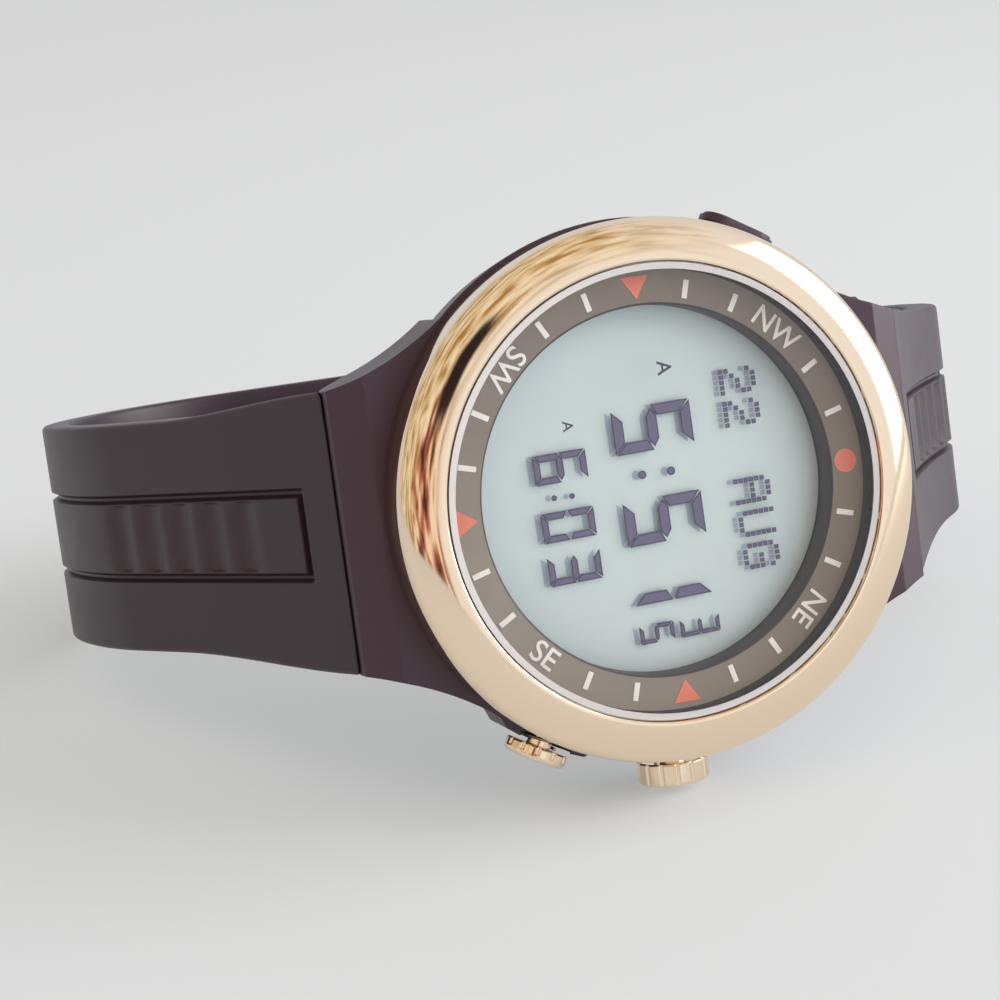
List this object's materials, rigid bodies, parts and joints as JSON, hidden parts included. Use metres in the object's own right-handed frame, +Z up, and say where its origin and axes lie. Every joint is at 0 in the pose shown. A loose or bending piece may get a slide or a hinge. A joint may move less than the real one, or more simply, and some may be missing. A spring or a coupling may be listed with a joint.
{
  "type": "sports watch",
  "caption": "Round digital compass sports watch with a rose gold bezel, side buttons, integrated resin strap, keepers and tongue buckle; stands on its side.",
  "frame": {"origin": "the middle of the case back's outer face", "axes": "+X towards 12 o'clock, +Z up with the watch standing on its 3 o'clock side, and the dial facing -Y, leaning back by the lean angle"},
  "size_m": [0.1009, 0.0883, 0.054],
  "materials": {
    "case_resin": "dark charcoal resin, satin",
    "rose_gold_steel": "polished rose gold plated steel",
    "crystal_glass": "clear mineral glass",
    "gasket_white": "white nylon gasket",
    "ring_grey": "warm grey satin plastic",
    "mark_white": "white print",
    "pointer_coral": "coral print",
    "lcd_glass": "reflective display glass, pale blue grey",
    "light_film": "milky light panel",
    "module_plastic": "grey moulded plastic",
    "board_green": "green solder mask",
    "zebra_rubber": "striped conductive rubber",
    "steel": "plain stainless steel",
    "buzzer_brass": "brass disc",
    "seal_rubber": "black nitrile rubber",
    "strap_rubber": "dark charcoal polyurethane, satin"
  },
  "bodies": {
    "case": {"case_body": "case_resin", "bezel_ring": "rose_gold_steel", "crystal": "crystal_glass", "crystal_gasket": "gasket_white", "compass_ring": "ring_grey", "ring_marks": "mark_white", "ring_pointers": "pointer_coral", "lcd_panel": "lcd_glass", "light_panel": "light_film", "module_frame": "module_plastic", "contact_strips": "zebra_rubber", "circuit_board": "board_green", "switch_leaves": "steel", "battery": "steel", "battery_clip": "steel", "buzzer_disc": "buzzer_brass", "buzzer_spring": "steel", "case_back": "steel", "case_back_gasket": "seal_rubber", "case_back_screws": "steel", "button_seals": "seal_rubber", "button_3_spring": "steel", "button_4_spring": "steel", "button_10_spring": "steel", "spring_bar_6": "steel", "spring_bar_12": "steel"},
    "button_3": {"button_3": "rose_gold_steel", "button_3_clip": "steel"},
    "button_4": {"button_4": "rose_gold_steel", "button_4_clip": "steel"},
    "button_10": {"button_10": "case_resin", "button_10_clip": "steel"},
    "strap_long": {"strap_long": "strap_rubber"},
    "strap_short": {"strap_short": "strap_rubber", "fixed_keeper": "strap_rubber", "buckle_pin": "steel"},
    "free_keeper": {"free_keeper": "strap_rubber"},
    "buckle_frame": {"buckle_frame": "rose_gold_steel"},
    "buckle_tongue": {"buckle_tongue": "rose_gold_steel"}
  },
  "joints": [
    {"name": "button_3_press", "type": "slide", "parent": "case", "child": "button_3", "axis": [0, 0.2284, 0.9736], "range_m": [0, 0.0009], "stiffness_N_per_m": 200, "springref_m": -0.001, "deforming": ["button_3_spring"]},
    {"name": "button_4_press", "type": "slide", "parent": "case", "child": "button_4", "axis": [0.5, 0.1978, 0.8431], "range_m": [0, 0.0009], "stiffness_N_per_m": 200, "springref_m": -0.001, "deforming": ["button_4_spring"]},
    {"name": "button_10_press", "type": "slide", "parent": "case", "child": "button_10", "axis": [-0.5, -0.1978, -0.8431], "range_m": [0, 0.0006], "stiffness_N_per_m": 200, "springref_m": -0.001, "deforming": ["button_10_spring"]},
    {"name": "strap_long_swing", "type": "hinge", "parent": "case", "child": "strap_long", "pos_m": [-0.02436, -0.00492, 0.00115], "axis": [0, 0.2284, 0.9736], "range_deg": [-6, 8]},
    {"name": "strap_short_swing", "type": "hinge", "parent": "case", "child": "strap_short", "pos_m": [0.02436, -0.00492, 0.00115], "axis": [0, -0.2284, -0.9736], "range_deg": [-6, 8]},
    {"name": "free_keeper_slide", "type": "hinge", "parent": "strap_short", "child": "free_keeper", "pos_m": [0.03036, 0.03424, -0.00803], "axis": [0, 0.2284, 0.9736], "range_deg": [-24, 5]},
    {"name": "buckle_frame_swing", "type": "hinge", "parent": "strap_short", "child": "buckle_frame", "pos_m": [0.03222, 0.05312, -0.01246], "axis": [0, -0.2284, -0.9736], "range_deg": [-25, 50]},
    {"name": "buckle_tongue_swing", "type": "hinge", "parent": "buckle_frame", "child": "buckle_tongue", "pos_m": [0.03222, 0.05312, -0.01246], "axis": [0, -0.2284, -0.9736], "range_deg": [0, 70]}
  ]
}
